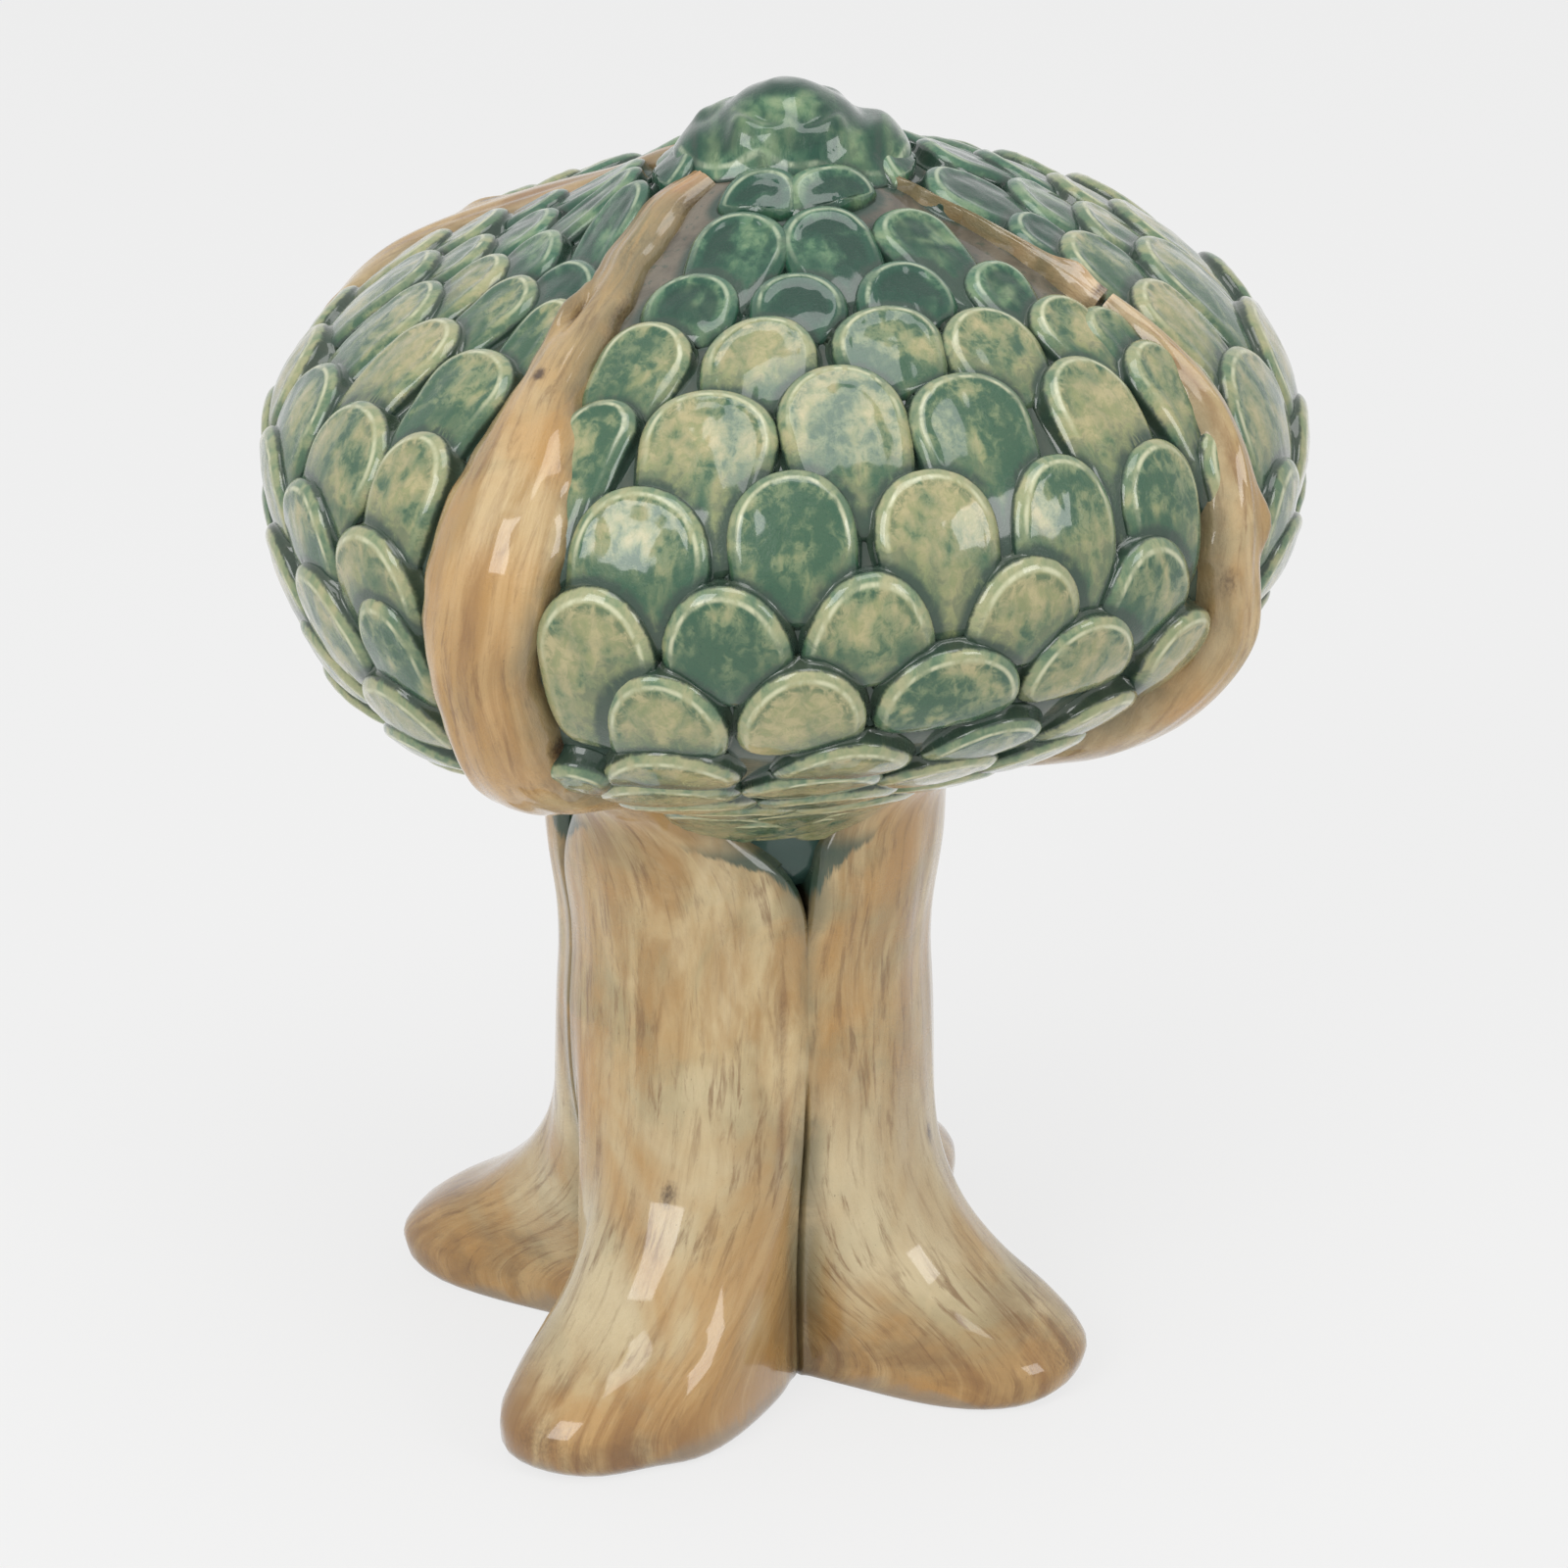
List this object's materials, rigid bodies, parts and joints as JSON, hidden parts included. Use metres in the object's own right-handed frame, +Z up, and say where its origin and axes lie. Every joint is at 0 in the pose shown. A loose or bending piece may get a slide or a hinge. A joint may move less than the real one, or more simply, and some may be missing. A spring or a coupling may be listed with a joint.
{
  "type": "ceramic tree sculpture",
  "caption": "Stylised tree with a broad rounded crown of overlapping leaf pads between spreading branches, on a lobed trunk with root feet.",
  "frame": {"origin": "centre of the bounding box in plan, at the ground", "axes": "+Z up the trunk, -Y towards the side seen in the picture, +X to its right"},
  "size_m": [0.283, 0.283, 0.3655],
  "materials": {
    "crown_clay": "semi-gloss",
    "trunk_glaze": "gloss",
    "branch_glaze": "gloss",
    "leaf_glaze": "gloss",
    "dark_leaf_glaze": "gloss"
  },
  "bodies": {
    "root": {"crown_dome": "crown_clay", "crown_bowl": "crown_clay", "right_branch_tip": "branch_glaze", "front_branch": "branch_glaze", "right_branch": "branch_glaze", "back_branch": "branch_glaze", "left_branch": "branch_glaze", "front_stem": "trunk_glaze", "right_stem": "trunk_glaze", "back_stem": "trunk_glaze", "left_stem": "trunk_glaze", "front_leaves_01": "dark_leaf_glaze", "front_leaves_02": "dark_leaf_glaze", "front_leaves_03": "dark_leaf_glaze", "front_leaves_04": "leaf_glaze", "front_leaves_05": "leaf_glaze", "front_leaves_06": "leaf_glaze", "front_leaves_07": "leaf_glaze", "front_leaves_08": "leaf_glaze", "front_leaves_09": "leaf_glaze", "front_leaves_10": "leaf_glaze", "front_leaves_11": "leaf_glaze", "front_leaves_12": "leaf_glaze", "right_leaves_01": "dark_leaf_glaze", "right_leaves_02": "dark_leaf_glaze", "right_leaves_03": "dark_leaf_glaze", "right_leaves_04": "leaf_glaze", "right_leaves_05": "leaf_glaze", "right_leaves_06": "leaf_glaze", "right_leaves_07": "leaf_glaze", "right_leaves_08": "leaf_glaze", "right_leaves_09": "leaf_glaze", "right_leaves_10": "leaf_glaze", "right_leaves_11": "leaf_glaze", "right_leaves_12": "leaf_glaze", "back_leaves_01": "dark_leaf_glaze", "back_leaves_02": "dark_leaf_glaze", "back_leaves_03": "dark_leaf_glaze", "back_leaves_04": "leaf_glaze", "back_leaves_05": "leaf_glaze", "back_leaves_06": "leaf_glaze", "back_leaves_07": "leaf_glaze", "back_leaves_08": "leaf_glaze", "back_leaves_09": "leaf_glaze", "back_leaves_10": "leaf_glaze", "back_leaves_11": "leaf_glaze", "back_leaves_12": "leaf_glaze", "left_leaves_01": "dark_leaf_glaze", "left_leaves_02": "dark_leaf_glaze", "left_leaves_03": "dark_leaf_glaze", "left_leaves_04": "leaf_glaze", "left_leaves_05": "leaf_glaze", "left_leaves_06": "leaf_glaze", "left_leaves_07": "leaf_glaze", "left_leaves_08": "leaf_glaze", "left_leaves_09": "leaf_glaze", "left_leaves_10": "leaf_glaze", "left_leaves_11": "leaf_glaze", "left_leaves_12": "leaf_glaze", "cap_leaf": "dark_leaf_glaze"}
  },
  "joints": []
}
